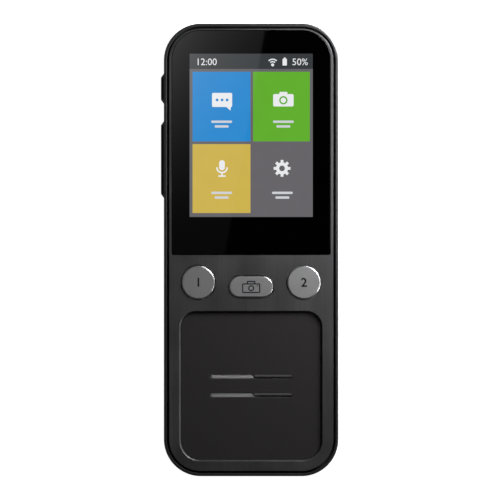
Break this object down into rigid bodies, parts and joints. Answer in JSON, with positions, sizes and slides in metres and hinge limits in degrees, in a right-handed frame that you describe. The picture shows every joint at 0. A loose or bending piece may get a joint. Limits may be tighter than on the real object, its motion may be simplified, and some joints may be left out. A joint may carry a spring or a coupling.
{
  "type": "handheld translator",
  "caption": "Slim handheld translator with a colour touch screen, round talk buttons, a camera button, a recessed speaker panel, side keys and a rear camera.",
  "frame": {"origin": "middle of the flat back, which it rests on", "axes": "+X across the body to the right, seen from the screen; +Y along it to the top end; +Z out of the screen"},
  "size_m": [0.053, 0.135, 0.0124],
  "materials": {
    "anodised_rim": "dark anodised, satin",
    "brushed_plate": "dark anodised, finely brushed along its length",
    "button_metal": "fine blasted grey with a bright chamfer",
    "panel_plastic": "matte near black",
    "rear_plastic": "fine matte texture",
    "black_glass": "polished, black from behind",
    "display_cell": "lit picture",
    "clear_plastic": "clear, slightly frosted",
    "bright_steel": "plain bright sheet",
    "magnet_steel": "plated",
    "black_tape": "foam tape",
    "board_green": "solder resist",
    "flex_amber": "polyimide film",
    "cell_foil": "laminated foil",
    "black_plastic": "moulded black",
    "speaker_paper": "black pulp"
  },
  "bodies": {
    "housing": {"side_frame": "anodised_rim", "rear_cover": "rear_plastic", "front_plate": "brushed_plate", "plate_adhesive": "black_tape", "cover_glass": "black_glass", "display_adhesive": "black_tape", "lcd_panel": "display_cell", "backlight_tray": "bright_steel", "light_guide": "clear_plastic", "display_flex": "flex_amber", "speaker_panel": "panel_plastic", "speaker_mesh": "bright_steel", "speaker_gasket": "black_tape", "speaker_basket": "magnet_steel", "speaker_diaphragm": "speaker_paper", "speaker_magnet": "magnet_steel", "talk_switch_left": "bright_steel", "talk_switch_right": "bright_steel", "camera_switch": "bright_steel", "side_key_board": "board_green", "power_switch": "bright_steel", "volume_up_switch": "bright_steel", "volume_down_switch": "bright_steel", "main_board": "board_green", "board_screw_1": "bright_steel", "board_screw_2": "bright_steel", "board_screw_3": "bright_steel", "board_screw_4": "bright_steel", "board_screw_5": "bright_steel", "board_screw_6": "bright_steel", "shield_can": "bright_steel", "microphone_upper": "bright_steel", "wifi_antenna": "flex_amber", "battery": "cell_foil", "battery_lead": "flex_amber", "camera_module": "black_plastic", "camera_ring": "anodised_rim", "camera_window": "black_glass", "flash_lens": "clear_plastic", "flash_led": "bright_steel", "charging_board": "board_green", "charging_screw_1": "bright_steel", "charging_screw_2": "bright_steel", "usb_shell": "bright_steel", "usb_tongue": "black_plastic", "microphone_lower": "bright_steel", "charging_flex": "flex_amber"},
    "left_talk_button": {"talk_button_left": "button_metal"},
    "right_talk_button": {"talk_button_right": "button_metal"},
    "middle_camera_button": {"camera_button": "button_metal"},
    "side_power_key": {"power_key": "anodised_rim"},
    "side_volume_rocker": {"volume_rocker": "anodised_rim"}
  },
  "joints": [
    {"name": "left_talk_press", "type": "slide", "parent": "housing", "child": "left_talk_button", "axis": [0, 0, -1], "range_m": [0, 0.0003], "stiffness_N_per_m": 2000},
    {"name": "right_talk_press", "type": "slide", "parent": "housing", "child": "right_talk_button", "axis": [0, 0, -1], "range_m": [0, 0.0003], "stiffness_N_per_m": 2000},
    {"name": "camera_press", "type": "slide", "parent": "housing", "child": "middle_camera_button", "axis": [0, 0, -1], "range_m": [0, 0.0003], "stiffness_N_per_m": 2000},
    {"name": "power_press", "type": "slide", "parent": "housing", "child": "side_power_key", "axis": [1, 0, 0], "range_m": [0, 0.0003], "stiffness_N_per_m": 2000},
    {"name": "volume_tilt", "type": "hinge", "parent": "housing", "child": "side_volume_rocker", "pos_m": [-0.02358, 0.02698, 0.00688], "axis": [0, 0, 1], "range_deg": [-1.2, 1.2], "stiffness_Nm_per_rad": 0.5}
  ]
}
